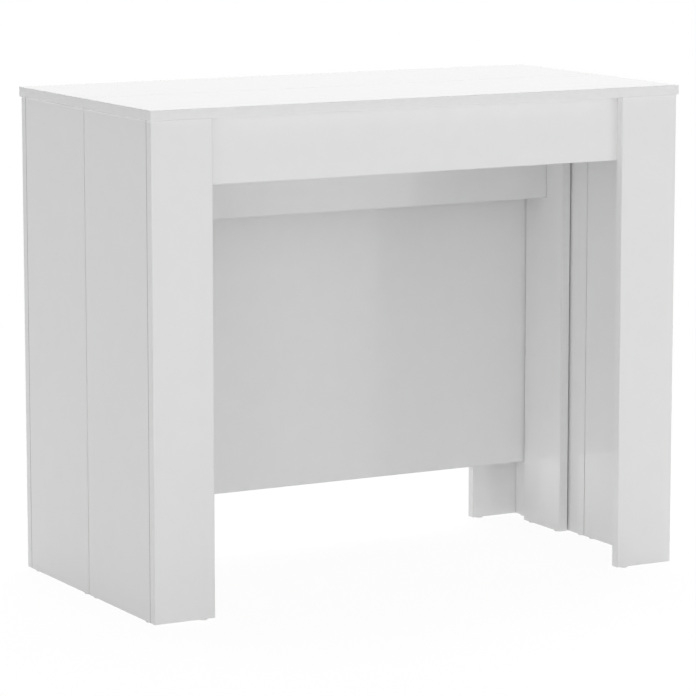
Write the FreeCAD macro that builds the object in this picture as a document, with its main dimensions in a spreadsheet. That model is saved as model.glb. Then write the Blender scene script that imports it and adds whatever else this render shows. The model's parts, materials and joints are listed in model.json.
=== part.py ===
"""Extendable console table of white faced boards, closed.

The table is cut in two across its depth. The rear half stands still. The front half draws out
towards -Y on two telescopic aluminium runners of seven interlocking members each, and a narrower
leg frame, hung on the middle members, follows at half the way and carries the run between.

The origin is on the floor, in the middle of the closed table. X runs along the width, the front
looks towards -Y and Z is up. The two halves part at Y = 0.
"""
import FreeCAD, Part
import os
import re

import Sketcher
from FreeCAD import Placement, Rotation, Vector

SIZES = {
    # The table as a whole
    "table_width": 900,
    "table_depth": 460,
    "table_height": 750,
    "board_thickness": 15,
    "side_overhang": 2,
    "front_overhang": 4,
    "split_gap": 0.6,
    "panel_split_gap": 1.6,
    "edge_easing": 0.5,
    # The legs, aprons and back panel of the two halves
    "leg_plate_width": 98,
    "apron_height": 98,
    "back_panel_apron_gap": 23,
    "back_panel_foot_height": 100,
    # The inner leg frame
    "post_depth": 110,
    "post_back_gap": 2,
    "post_side_gap": 2.8,
    "rail_height": 144,
    # The telescopic runners
    "runner_top_gap": 1.5,
    "runner_end_gap": 2,
    "runner_height": 43,
    "runner_width": 10,
    "runner_gap": 1,
    "runner_wall": 2.5,
    "groove_lip": 2.5,
    "tongue_neck_height": 7,
    "tongue_head_height": 16,
    "tongue_head_thickness": 3.5,
    "tongue_clearance": 0.4,
    "frame_running_gap": 1.5,
    # The runners' stops: a nib in each groove rides in a keyway in the tongue that it holds
    "stage_travel": 320,
    "nib_diameter": 5,
    "nib_inset": 10,
    "keyway_depth": 1.6,
    "keyway_height": 5.8,
    # The angle brackets of the runners and of the inner frame
    "bracket_thickness": 2,
    "bracket_length": 40,
    "bracket_flange": 20,
    "bracket_drop": 25,
    "bracket_inset": 20,
    "bracket_side_gap": 4,
    "saddle_thickness": 3,
    "saddle_reach": 40,
    "saddle_plate_width": 40,
    "saddle_plate_height": 45,
    "saddle_tongue_gap": 0.5,
    # Cam locks and their bolts
    "cam_diameter": 15,
    "cam_cover": 2.5,
    "cam_setback": 24,
    "cam_slot_width": 1.6,
    "cam_slot_length": 9,
    "cam_slot_depth": 2,
    "bolt_bore_diameter": 8,
    "bolt_thread_diameter": 5.5,
    "bolt_thread_length": 11,
    "bolt_collar_diameter": 7.6,
    "bolt_collar_length": 2,
    "bolt_neck_diameter": 4,
    "bolt_head_diameter": 6.6,
    "bolt_head_length": 3,
    # Dowels, pegs and floor glides
    "dowel_diameter": 8,
    "dowel_length": 30,
    "dowel_short_end": 10,
    "dowel_point": 1,
    "peg_diameter": 8,
    "peg_root_length": 13,
    "peg_reach": 11,
    "peg_clearance": 0.4,
    "glide_margin": 1,
    "glide_height": 2,
    "glide_rim": 0.6,
    "glide_nail_diameter": 1.8,
    "glide_nail_length": 12,
    "glide_inset": 16,
    # Screws
    "apron_screw_diameter": 4,
    "apron_screw_cover": 5,
    "apron_screw_head_diameter": 7.6,
    "apron_screw_head_height": 2.4,
    "bracket_screw_diameter": 3.5,
    "bracket_screw_head_diameter": 7,
    "bracket_screw_head_height": 2.2,
    "board_screw_length": 13,
    "runner_screw_length": 6.5,
    "screw_point_length": 2,
    "screw_inset": 10,
    "fit_clearance": 0.1,
}

# Heights of the fixings, as shares of the piece that they run through
PLATE_DOWEL_SHARES = (0.12, 0.46, 0.8)
APRON_CAM_SHARES = (0.22, 0.78)
APRON_SCREW_SHARES = (0.2, 0.5)
TOP_DOWEL_SHARES = (-0.3, 0, 0.3)
TOP_CAM_SHARES = (0.2, 0.72)
BACK_CAM_SHARES = (0.1, 0.9)
RAIL_CAM_SHARES = (0.22, 0.78)
MIDDLE_SHARE = 0.5
PEG_SHARES = (-0.36, 0, 0.36)
SCREW_HEAD_CROWN_SHARE = 0.66

RUNNER_MEMBERS = 7
MIDDLE_MEMBER = (RUNNER_MEMBERS + 1) // 2
SIDES = {"left": -1, "right": 1}
HALVES = {"front": -1, "rear": 1}

# Planes that several pieces share, written in the named sizes
BODY_SIDE = "(table_width / 2 - side_overhang)"
SIDE_INNER = f"({BODY_SIDE} - board_thickness)"
SIDE_MIDDLE = f"({BODY_SIDE} - board_thickness / 2)"
BODY_FACE = "(table_depth / 2 - front_overhang)"
PLATE_BACK = f"({BODY_FACE} - board_thickness)"
PLATE_MIDDLE = f"({BODY_FACE} - board_thickness / 2)"
PLATE_INNER_EDGE = f"({BODY_SIDE} - leg_plate_width)"
APRON_BACK = f"({PLATE_BACK} - board_thickness)"
APRON_MIDDLE = f"({PLATE_BACK} - board_thickness / 2)"
SPLIT_FACE = "(split_gap / 2)"
PANEL_SPLIT_FACE = "(panel_split_gap / 2)"
UNDER_TOP = "(table_height - board_thickness)"
TOP_MIDDLE = "(table_height - board_thickness / 2)"
APRON_FOOT = f"({UNDER_TOP} - apron_height)"
BACK_BACK = f"({APRON_BACK} - back_panel_apron_gap)"
BACK_MIDDLE = f"({BACK_BACK} - board_thickness / 2)"
BACK_FRONT = f"({BACK_BACK} - board_thickness)"
RUNNER_OUTER = f"({SIDE_INNER} - bracket_side_gap - bracket_flange)"
RUNNER_PITCH = "(runner_width + runner_gap)"
RUNNER_TOP = f"({UNDER_TOP} - runner_top_gap)"
RUNNER_FOOT = f"({RUNNER_TOP} - runner_height)"
RUNNER_END = f"({APRON_BACK} - runner_end_gap)"
FRAME_TOP = f"({RUNNER_FOOT} - frame_running_gap)"
POST_OUTER = f"({SIDE_INNER} - post_side_gap)"
POST_MIDDLE = f"({POST_OUTER} - board_thickness / 2)"
POST_INNER = f"({POST_OUTER} - board_thickness)"
POST_BACK = f"({BACK_FRONT} - post_back_gap)"
POST_FRONT = f"({POST_BACK} - post_depth)"
FRAME_MIDDLE = f"({POST_BACK} - post_depth / 2)"
RAIL_BACK = f"({FRAME_MIDDLE} + board_thickness / 2)"
RAIL_FOOT = f"({FRAME_TOP} - rail_height)"
CAM_DEPTH = "(board_thickness - cam_cover)"
GLIDE_RADIUS = "(board_thickness / 2 - glide_margin)"
APRON_SCREW_LENGTH = "(2 * board_thickness - apron_screw_cover)"

document = FreeCAD.newDocument("console_table")
sheet = document.addObject("Spreadsheet::Sheet", "Sizes")
for row, (word, value) in enumerate(SIZES.items(), start=1):
    sheet.set(f"A{row}", word)
    sheet.set(f"B{row}", str(value))
    sheet.setAlias(f"B{row}", word)
document.recompute()

nodes = []


def formula(text):
    """A length written in size names, with each name looked up in the sheet."""
    return re.sub(r"[a-z_]+", lambda found: "Sizes." + found.group(), text)


def bind(thing, **lengths):
    """Tie properties of a feature to lengths written in size names."""
    for name, text in lengths.items():
        thing.setExpression(name, formula(text))


def put(thing, point, turn=Rotation()):
    """Turn a thing about its own origin and tie that origin to a point."""
    thing.Placement = Placement(Vector(), turn)
    for axis, text in zip("xyz", point):
        thing.setExpression("Placement.Base." + axis, formula(text))


def step(point, direction, distance):
    """The point that lies a distance away along +x, -x, +y, -y, +z or -z."""
    sign, axis = direction
    return tuple(f"({text} {sign} ({distance}))" if axis == name else text
                 for name, text in zip("xyz", point))


def opposite(direction):
    return ("-" if direction[0] == "+" else "+") + direction[1]


def unit(direction):
    """The unit vector of a direction such as -y."""
    return Vector(*(float(direction[0] + "1") if direction[1] == name else 0 for name in "xyz"))


def turned(along, up=None):
    """The turn that points a fastener's own Z along a direction, and its X along another."""
    if up is None:
        return Rotation(Vector(0, 0, 1), unit(along))
    return Rotation(unit(up), Vector(), unit(along), "ZXY")


def toward(sign, axis):
    return ("+" if sign > 0 else "-") + axis


def signed(sign, text):
    return text if sign > 0 else f"(-({text}))"


def span(sign, near, far):
    """The stretch from near to far, or its mirror image across zero."""
    return (near, far) if sign > 0 else (f"-({far})", f"-({near})")


def between(low, high, share):
    return f"({low} + ({high} - {low}) * {share})"


def node(thing, label):
    """Name a finished piece and add it to the pieces that are written out."""
    thing.Label = label
    nodes.append(thing)
    return thing


def board(label, x, y, z):
    """A cut board with eased edges, filling a stretch along each axis."""
    body = document.addObject("PartDesign::Body", label)
    plank = body.newObject("PartDesign::AdditiveBox", label + "_plank")
    put(plank, (x[0], y[0], z[0]))
    bind(plank, Length=f"({x[1]}) - ({x[0]})", Width=f"({y[1]}) - ({y[0]})",
         Height=f"({z[1]}) - ({z[0]})")
    document.recompute()
    easing = body.newObject("PartDesign::Chamfer", label + "_easing")
    easing.Base = (plank, ["Face1"])
    easing.UseAllEdges = True
    bind(easing, Size="edge_easing")
    return node(body, label)


def drill(body, start, direction, diameter, depth):
    """A round bore from a point on a piece's face inwards."""
    bore = body.newObject("PartDesign::SubtractiveCylinder", body.Label + "_bore")
    put(bore, start, turned(direction))
    bind(bore, Radius=f"({diameter}) / 2", Height=depth)


def countersink(body, start, direction, wide, narrow, depth):
    """The cone that a flat screw head sinks into."""
    seat = body.newObject("PartDesign::SubtractiveCone", body.Label + "_countersink")
    put(seat, start, turned(direction))
    bind(seat, Radius1=f"({wide}) / 2", Radius2=f"({narrow}) / 2", Height=depth)


def closed_outline(sketch, points):
    """A closed outline in a sketch, each corner tied to its two coordinates."""
    rough = [Vector(index, index * index, 0) for index in range(len(points))]
    lines = [sketch.addGeometry(Part.LineSegment(start, end), False)
             for start, end in zip(rough, rough[1:] + rough[:1])]
    for line, following in zip(lines, lines[1:] + lines[:1]):
        sketch.addConstraint(Sketcher.Constraint("Coincident", line, 2, following, 1))
    for line, (across, up) in zip(lines, points):
        for kind, axis, text in (("DistanceX", -2, across), ("DistanceY", -1, up)):
            if text == "0":
                sketch.addConstraint(Sketcher.Constraint("PointOnObject", line, 1, axis))
                continue
            index = sketch.addConstraint(Sketcher.Constraint(kind, -1, 1, line, 1, 1.0))
            sketch.setExpression(f"Constraints[{index}]", formula(text))


def sketch_on(body, plane, name):
    """An empty sketch on one of a body's own origin planes."""
    sketch = body.newObject("Sketcher::SketchObject", name)
    face = next(feature for feature in body.Origin.OriginFeatures if feature.Role == plane)
    sketch.AttachmentSupport = (face, [""])
    sketch.MapMode = "FlatFace"
    return sketch


def turned_piece(label, outline):
    """A fastener turned about its own Z, from its half outline of radii and heights."""
    body = document.addObject("PartDesign::Body", label)
    sketch = sketch_on(body, "XZ_Plane", label + "_outline")
    closed_outline(sketch, outline)
    spin = body.newObject("PartDesign::Revolution", label + "_turned")
    spin.Profile = sketch
    spin.ReferenceAxis = (sketch, ["V_Axis"])
    spin.Angle = 360
    return body


def copies(label, piece, places):
    """One node of identical fasteners, each a copy at its point and turn."""
    links = []
    for point, turn in places:
        link = document.addObject("App::Link", label + "_copy")
        link.LinkedObject = piece
        put(link, point, turn)
        links.append(link)
    group = document.addObject("Part::Compound", label)
    group.Links = links
    return node(group, label)


# Masters of the fasteners: each has its seat at its own origin and points along its own Z
def make_cam_bolt():
    neck_end = "(cam_setback - bolt_head_length)"
    return turned_piece("cam_bolt", (
        ("0", "-bolt_thread_length"),
        ("bolt_thread_diameter / 2", "-bolt_thread_length"),
        ("bolt_thread_diameter / 2", "0"),
        ("bolt_collar_diameter / 2", "0"),
        ("bolt_collar_diameter / 2", "bolt_collar_length"),
        ("bolt_neck_diameter / 2", "bolt_collar_length"),
        ("bolt_neck_diameter / 2", neck_end),
        ("bolt_head_diameter / 2", neck_end),
        ("bolt_head_diameter / 2", "cam_setback"),
        ("0", "cam_setback"),
    ))


def make_cam_housing():
    """The cam: its slotted face at the board's face, its X towards the joint."""
    body = document.addObject("PartDesign::Body", "cam_housing")
    drum = body.newObject("PartDesign::AdditiveCylinder", "cam_drum")
    bind(drum, Radius="cam_diameter / 2", Height=CAM_DEPTH)
    put(drum, ("0", "0", f"-{CAM_DEPTH}"))
    slot = body.newObject("PartDesign::SubtractiveBox", "cam_slot")
    bind(slot, Length="cam_slot_length", Width="cam_slot_width", Height="cam_slot_depth")
    put(slot, ("-cam_slot_length / 2", "-cam_slot_width / 2", "-cam_slot_depth"))
    for name, diameter, start, depth in (
            ("cam_neck_way", "bolt_neck_diameter", "-fit_clearance", "cam_diameter"),
            ("cam_head_room", "bolt_head_diameter", "-fit_clearance",
             "bolt_head_length + 2 * fit_clearance")):
        way = body.newObject("PartDesign::SubtractiveCylinder", name)
        bind(way, Radius=f"{diameter} / 2 + fit_clearance", Height=depth)
        put(way, (start, "0", "-board_thickness / 2"), turned("+x"))
    return body


def make_dowel():
    radius = "dowel_diameter / 2"
    tail = "-dowel_short_end"
    head = "(dowel_length - dowel_short_end)"
    return turned_piece("dowel", (
        ("0", tail),
        (f"{radius} - dowel_point", tail),
        (radius, f"{tail} + dowel_point"),
        (radius, f"{head} - dowel_point"),
        (f"{radius} - dowel_point", head),
        ("0", head),
    ))


def make_peg():
    radius = "peg_diameter / 2"
    return turned_piece("peg", (
        ("0", "-peg_root_length"),
        (radius, "-peg_root_length"),
        (radius, "peg_reach - 2 * dowel_point"),
        (f"{radius} - dowel_point", "peg_reach"),
        ("0", "peg_reach"),
    ))


def make_glide():
    """A nail-on glide: its disc hangs below the board's edge, its nail stands up."""
    return turned_piece("glide", (
        ("0", "-glide_height"),
        (f"{GLIDE_RADIUS} - glide_rim", "-glide_height"),
        (GLIDE_RADIUS, "-glide_height + glide_rim"),
        (GLIDE_RADIUS, "0"),
        ("glide_nail_diameter / 2", "0"),
        ("glide_nail_diameter / 2", "glide_nail_length - glide_nail_diameter"),
        ("0", "glide_nail_length"),
    ))


def make_flat_screw():
    """A countersunk screw, its head flush with the face that it enters."""
    radius = "apron_screw_diameter / 2"
    return turned_piece("flat_screw", (
        ("0", "0"),
        ("apron_screw_head_diameter / 2", "0"),
        (radius, "apron_screw_head_height"),
        (radius, f"{APRON_SCREW_LENGTH} - screw_point_length"),
        ("0", APRON_SCREW_LENGTH),
    ))


def make_pan_screw(label, length):
    """A pan-head screw, its head standing on the face that it enters."""
    radius = "bracket_screw_diameter / 2"
    head = "bracket_screw_head_diameter / 2"
    return turned_piece(label, (
        ("0", "-bracket_screw_head_height"),
        (f"{head} * {SCREW_HEAD_CROWN_SHARE}", "-bracket_screw_head_height"),
        (head, "-bracket_screw_head_height / 2"),
        (head, "0"),
        (radius, "0"),
        (radius, f"{length} - screw_point_length"),
        ("0", length),
    ))


cam_bolt = make_cam_bolt()
cam_housing = make_cam_housing()
dowel = make_dowel()
peg = make_peg()
glide = make_glide()
flat_screw = make_flat_screw()
board_screw = make_pan_screw("board_screw", "board_screw_length")
runner_screw = make_pan_screw("runner_screw", "runner_screw_length")


class Fixings:
    """The places of one frame's fasteners, gathered while its boards are drilled."""

    def __init__(self):
        self.cams = []
        self.bolts = []
        self.dowels = []
        self.glides = []
        self.flat_screws = []

    def cam_joint(self, held, holder, point, direction, face):
        """Draw the held board onto its neighbour, which lies in the given direction.

        The point lies on the joint, at the held board's mid thickness, and the cam is let into
        the held board's face that looks towards face.
        """
        back = opposite(direction)
        cam_face = step(step(point, back, "cam_setback"), face, "board_thickness / 2")
        drill(held, cam_face, opposite(face), "cam_diameter + 2 * fit_clearance",
              f"{CAM_DEPTH} + fit_clearance")
        drill(held, point, back, "bolt_bore_diameter", "cam_setback")
        drill(holder, point, direction, "bolt_thread_diameter + 2 * fit_clearance",
              "bolt_thread_length + fit_clearance")
        self.cams.append((cam_face, turned(face, direction)))
        self.bolts.append((point, turned(back)))

    def dowel_joint(self, held, holder, point, direction):
        """Peg the held board to its neighbour, which lies in the given direction."""
        bore = "dowel_diameter + 2 * fit_clearance"
        drill(holder, point, direction, bore, "dowel_short_end + fit_clearance")
        drill(held, point, opposite(direction), bore,
              "dowel_length - dowel_short_end + fit_clearance")
        self.dowels.append((point, turned(opposite(direction))))

    def glide_under(self, body, x, y):
        point = (x, y, "glide_height")
        drill(body, point, "+z", "glide_nail_diameter + 2 * fit_clearance",
              "glide_nail_length + fit_clearance")
        self.glides.append((point, turned("+z")))

    def screw_through(self, near, far, point, direction):
        """A flat screw through one board into the next, entering at a point on the first."""
        bore = "apron_screw_diameter + 2 * fit_clearance"
        countersink(near, point, direction, "apron_screw_head_diameter + 2 * fit_clearance", bore,
                    "apron_screw_head_height + fit_clearance")
        drill(near, point, direction, bore, "board_thickness")
        drill(far, step(point, direction, "board_thickness"), direction, bore,
              f"{APRON_SCREW_LENGTH} - board_thickness + fit_clearance")
        self.flat_screws.append((point, turned(direction)))

    def write(self, name):
        """One node for each kind of fastener that this frame has."""
        kinds = (("cam_locks", cam_housing, self.cams), ("cam_bolts", cam_bolt, self.bolts),
                 ("dowels", dowel, self.dowels), ("floor_glides", glide, self.glides),
                 ("apron_screws", flat_screw, self.flat_screws))
        for kind, piece, places in kinds:
            if places:
                copies(f"{name}_{kind}", piece, places)


def make_half(name, fixings):
    """The boards of the front or the rear half: top, apron, two side panels, two leg plates."""
    facing = HALVES[name]
    outwards = toward(facing, "y")
    inwards = opposite(outwards)
    half_width = "(table_width / 2)"
    top = board(f"{name}_top", (f"-{half_width}", half_width),
                span(facing, SPLIT_FACE, "(table_depth / 2)"), (UNDER_TOP, "table_height"))
    apron = board(f"{name}_apron", (f"-{SIDE_INNER}", SIDE_INNER),
                  span(facing, APRON_BACK, PLATE_BACK), (APRON_FOOT, UNDER_TOP))
    for share in TOP_DOWEL_SHARES:
        fixings.dowel_joint(apron, top,
                            (f"(table_width * {share})", signed(facing, APRON_MIDDLE), UNDER_TOP),
                            "+z")
    for hand, side in SIDES.items():
        outside = toward(side, "x")
        panel = board(f"{name}_{hand}_side_panel", span(side, SIDE_INNER, BODY_SIDE),
                      span(facing, PANEL_SPLIT_FACE, PLATE_BACK), ("glide_height", UNDER_TOP))
        plate = board(f"{name}_{hand}_leg_plate", span(side, PLATE_INNER_EDGE, BODY_SIDE),
                      span(facing, PLATE_BACK, BODY_FACE), ("glide_height", UNDER_TOP))
        middle = signed(side, SIDE_MIDDLE)
        for share in TOP_CAM_SHARES:
            along = signed(facing, between(PANEL_SPLIT_FACE, PLATE_BACK, share))
            fixings.cam_joint(panel, top, (middle, along, UNDER_TOP), "+z", opposite(outside))
        for share in APRON_CAM_SHARES:
            joint = (signed(side, SIDE_INNER), signed(facing, APRON_MIDDLE),
                     between(APRON_FOOT, UNDER_TOP, share))
            fixings.cam_joint(apron, panel, joint, outside, inwards)
        for share in PLATE_DOWEL_SHARES:
            joint = (middle, signed(facing, PLATE_BACK), f"({UNDER_TOP} * {share})")
            fixings.dowel_joint(panel, plate, joint, outwards)
        for share in APRON_SCREW_SHARES:
            entry = (signed(side, f"({PLATE_INNER_EDGE} + leg_plate_width * {share})"),
                     signed(facing, APRON_BACK), between(APRON_FOOT, UNDER_TOP, MIDDLE_SHARE))
            fixings.screw_through(apron, plate, entry, outwards)
        for along in (f"({PANEL_SPLIT_FACE} + glide_inset)", f"({PLATE_BACK} - glide_inset)"):
            fixings.glide_under(panel, middle, signed(facing, along))
        fixings.glide_under(plate, signed(side, f"({PLATE_INNER_EDGE} + glide_inset)"),
                            signed(facing, PLATE_MIDDLE))
    return top


def make_back_panel(fixings):
    """The panel that closes the rear half, held between its side panels."""
    panel = board("back_panel", (f"-{SIDE_INNER}", SIDE_INNER),
                  (BACK_FRONT, BACK_BACK), ("back_panel_foot_height", FRAME_TOP))
    for hand, side in SIDES.items():
        holder = document.getObject(f"rear_{hand}_side_panel")
        outside = toward(side, "x")
        for share in BACK_CAM_SHARES:
            joint = (signed(side, SIDE_INNER), BACK_MIDDLE,
                     between("back_panel_foot_height", FRAME_TOP, share))
            fixings.cam_joint(panel, holder, joint, outside, "+y")
        joint = (signed(side, SIDE_INNER), BACK_MIDDLE,
                 between("back_panel_foot_height", FRAME_TOP, MIDDLE_SHARE))
        fixings.dowel_joint(panel, holder, joint, outside)


def make_middle_frame(fixings):
    """The inner leg frame: two posts and the cross rail between them."""
    rail = board("middle_cross_rail", (f"-{POST_INNER}", POST_INNER),
                 (f"({FRAME_MIDDLE} - board_thickness / 2)", RAIL_BACK),
                 (RAIL_FOOT, FRAME_TOP))
    for hand, side in SIDES.items():
        outside = toward(side, "x")
        post = board(f"middle_{hand}_post", span(side, POST_INNER, POST_OUTER),
                     (POST_FRONT, POST_BACK), ("glide_height", FRAME_TOP))
        for share in RAIL_CAM_SHARES:
            joint = (signed(side, POST_INNER), FRAME_MIDDLE,
                     between(RAIL_FOOT, FRAME_TOP, share))
            fixings.cam_joint(rail, post, joint, outside, "+y")
        joint = (signed(side, POST_INNER), FRAME_MIDDLE,
                 between(RAIL_FOOT, FRAME_TOP, MIDDLE_SHARE))
        fixings.dowel_joint(rail, post, joint, outside)
        for along in (f"({POST_FRONT} + glide_inset)", f"({POST_BACK} - glide_inset)"):
            fixings.glide_under(post, signed(side, POST_MIDDLE), along)
    return rail


def make_pegs(front_top, rear_top):
    """Pegs in the front top's split edge, which slide into bores in the rear top's."""
    places = []
    for share in PEG_SHARES:
        root = (f"(table_width * {share})", f"(-{SPLIT_FACE})", TOP_MIDDLE)
        mouth = (root[0], SPLIT_FACE, TOP_MIDDLE)
        drill(front_top, root, "-y", "peg_diameter + 2 * fit_clearance",
              "peg_root_length + fit_clearance")
        drill(rear_top, mouth, "+y", "peg_diameter + 2 * peg_clearance",
              "peg_reach + peg_clearance")
        places.append((root, turned("+y")))
    copies("front_locating_pegs", peg, places)


def make_runner_member(hand, number):
    """One extruded member, drawn in section and padded along the runner.

    A tongue on the outer side runs in the groove of the member before it. The first member has
    no tongue and the last has no groove. A nib near the front of each groove rides in a keyway
    along the next member's tongue, and meets its end when that stage is drawn right out. The
    left runner is the right one turned half round.
    """
    label = f"{hand}_runner_member_{number}"
    outer = f"({RUNNER_OUTER} - {RUNNER_PITCH} * {number - 1})"
    inner = f"({outer} - runner_width)"
    middle = f"({RUNNER_FOOT} + runner_height / 2)"
    clear = "tongue_clearance"
    neck = f"{outer} + runner_gap + groove_lip + {clear}"
    lip = f"{inner} + groove_lip"
    floor = f"{lip} + tongue_head_thickness + 2 * {clear}"
    tongue_half = (("tongue_neck_height / 2", outer, neck),
                   ("tongue_head_height / 2", neck, f"{neck} + tongue_head_thickness"))
    groove_half = ((f"tongue_neck_height / 2 + {clear}", inner, lip),
                   (f"tongue_head_height / 2 + {clear}", lip, floor))
    corners = [(inner, RUNNER_FOOT), (outer, RUNNER_FOOT)]
    if number > 1:
        below = [(x, f"{middle} - ({half})") for half, start, end in tongue_half
                 for x in (start, end)]
        corners += below + [(x, f"{middle} + ({half})") for half, start, end in tongue_half[::-1]
                            for x in (end, start)]
    corners += [(outer, RUNNER_TOP), (inner, RUNNER_TOP)]
    if number < RUNNER_MEMBERS:
        above = [(x, f"{middle} + ({half})") for half, start, end in groove_half
                 for x in (start, end)]
        corners += above + [(x, f"{middle} - ({half})") for half, start, end in groove_half[::-1]
                            for x in (end, start)]
    chamber_end = f"(tongue_head_height / 2 + {clear} + runner_wall)"
    sides = (f"{inner} + runner_wall", f"{outer} - runner_wall")
    chambers = ((f"{RUNNER_FOOT} + runner_wall", f"{middle} - {chamber_end}"),
                (f"{middle} + {chamber_end}", f"{RUNNER_TOP} - runner_wall"))

    body = document.addObject("PartDesign::Body", label)
    section = sketch_on(body, "XZ_Plane", label + "_section")
    closed_outline(section, corners)
    for low, high in chambers:
        closed_outline(section, ((sides[0], low), (sides[1], low), (sides[1], high),
                                 (sides[0], high)))
    bar = body.newObject("PartDesign::Pad", label + "_bar")
    bar.Profile = section
    bar.Midplane = True
    bind(bar, Length=f"2 * {RUNNER_END}")
    frontwards = "-y" if hand == "right" else "+y"
    front = signed(-1 if hand == "right" else 1, RUNNER_END)
    nib_place = step(("0", front, middle), opposite(frontwards), "nib_inset")[1]
    if number > 1:
        stop = step(("0", nib_place, middle), opposite(frontwards),
                    "stage_travel + nib_diameter / 2 + fit_clearance")[1]
        low, high = (front, stop) if hand == "right" else (stop, front)
        keyway = body.newObject("PartDesign::SubtractiveBox", label + "_keyway")
        put(keyway, (f"{neck} + tongue_head_thickness - keyway_depth", low,
                     f"{middle} - keyway_height / 2"))
        bind(keyway, Length="keyway_depth", Width=f"({high}) - ({low})", Height="keyway_height")
    if number < RUNNER_MEMBERS:
        nib = body.newObject("PartDesign::AdditiveCylinder", label + "_nib")
        put(nib, (floor, nib_place, middle), turned("-x"))
        bind(nib, Radius="nib_diameter / 2", Height="keyway_depth")
    if hand == "left":
        body.Placement = Placement(Vector(), Rotation(Vector(0, 0, 1), 180))
    return node(body, label)


# The angle bracket's holes: in the flange at mid width, and in the leg beside the upper chamber
BRACKET_SCREW_OUT = "((bracket_flange + bracket_thickness) / 2)"
UPPER_CHAMBER = (f"((runner_height / 2 + tongue_head_height / 2 + tongue_clearance"
                 " + runner_height) / 2)")
BRACKET_SCREW_DOWN = f"({UPPER_CHAMBER} - runner_height - runner_top_gap)"

# The saddle's holes: one in its tongue, two in its plate
SADDLE_TONGUE_HOLE = "(saddle_reach - screw_inset)"
SADDLE_PLATE_HOLES = tuple((signed(side, "(saddle_plate_width / 2 - screw_inset)"),
                            "(-(saddle_plate_height - screw_inset))") for side in SIDES.values())


def make_angle_bracket():
    """A bent angle: its flange lies under the top, its leg hangs against a runner.

    Its own origin is at the outer corner of the bend, at mid length; X runs along the flange,
    and the leg hangs down.
    """
    body = document.addObject("PartDesign::Body", "angle_bracket")
    section = sketch_on(body, "XZ_Plane", "angle_bracket_section")
    closed_outline(section, (
        ("0", "0"), ("0", "-bracket_drop"), ("bracket_thickness", "-bracket_drop"),
        ("bracket_thickness", "-bracket_thickness"), ("bracket_flange", "-bracket_thickness"),
        ("bracket_flange", "0")))
    bent = body.newObject("PartDesign::Pad", "angle_bracket_bent")
    bent.Profile = section
    bent.Midplane = True
    bind(bent, Length="bracket_length")
    bore = "bracket_screw_diameter + 2 * fit_clearance"
    for along in (1, -1):
        place = signed(along, "(bracket_length / 2 - screw_inset)")
        drill(body, (BRACKET_SCREW_OUT, place, "-bracket_thickness"), "+z", bore,
              "bracket_thickness")
        drill(body, ("0", place, BRACKET_SCREW_DOWN), "+x", bore, "bracket_thickness")
    return body


def drill_member(member, hand, start, direction):
    """A screw hole through one wall of a member, in the member's own frame."""
    if hand == "left":
        x, y, z = start
        start = (f"(-{x})", f"(-{y})", z)
        if direction[1] != "z":
            direction = opposite(direction)
    drill(member, start, direction, "bracket_screw_diameter + 2 * fit_clearance", "runner_wall")


def hang_runner(name, top, number):
    """Brackets and screws that hold one member of each runner under a half's top."""
    facing = HALVES[name]
    inner_face = f"({RUNNER_OUTER} - {RUNNER_PITCH} * {number - 1} - runner_width)"
    brackets, board_screws, runner_screws = [], [], []
    for hand, side in SIDES.items():
        member = runners[hand, number]
        outwards = number == 1
        face = RUNNER_OUTER if outwards else inner_face
        flange = toward(side if outwards else -side, "x")
        for along in (f"({SPLIT_FACE} + bracket_inset + bracket_length / 2)",
                      f"({RUNNER_END} - bracket_inset - bracket_length / 2)"):
            corner = (signed(side, face), signed(facing, along), UNDER_TOP)
            brackets.append((corner, turned("+z", flange)))
            for shift in ("+y", "-y"):
                hole = step(corner, shift, "bracket_length / 2 - screw_inset")
                under = step(step(hole, flange, BRACKET_SCREW_OUT), "-z", "bracket_thickness")
                board_screws.append((under, turned("+z")))
                drill(top, step(under, "+z", "bracket_thickness"), "+z",
                      "bracket_screw_diameter + 2 * fit_clearance",
                      "board_screw_length - bracket_thickness + fit_clearance")
                beside = step(step(hole, "+z", BRACKET_SCREW_DOWN), flange, "bracket_thickness")
                into = opposite(flange)
                runner_screws.append((beside, turned(into)))
                drill_member(member, hand, step(beside, into, "bracket_thickness"), into)
    copies(f"{name}_runner_brackets", angle_bracket, brackets)
    copies(f"{name}_bracket_board_screws", board_screw, board_screws)
    copies(f"{name}_bracket_runner_screws", runner_screw, runner_screws)


def make_saddle():
    """The inner frame's bracket: a plate against the rail and a tongue under a runner member.

    Its own origin is on the rail's back face, at the underside of the runner; Y points away
    from the rail.
    """
    body = document.addObject("PartDesign::Body", "saddle")
    tongue = body.newObject("PartDesign::AdditiveBox", "saddle_tongue")
    bind(tongue, Length="runner_width - 2 * saddle_tongue_gap", Width="saddle_reach",
         Height="saddle_thickness")
    put(tongue, ("saddle_tongue_gap - runner_width / 2", "0", "-saddle_thickness"))
    plate = body.newObject("PartDesign::AdditiveBox", "saddle_plate")
    bind(plate, Length="saddle_plate_width", Width="saddle_thickness",
         Height="saddle_plate_height - saddle_thickness")
    put(plate, ("-saddle_plate_width / 2", "0", "-saddle_plate_height"))
    bore = "bracket_screw_diameter + 2 * fit_clearance"
    for x, z in SADDLE_PLATE_HOLES:
        drill(body, (x, "saddle_thickness", z), "-y", bore, "saddle_thickness")
    drill(body, ("0", SADDLE_TONGUE_HOLE, "-saddle_thickness"), "+z", bore, "saddle_thickness")
    return body


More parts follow.
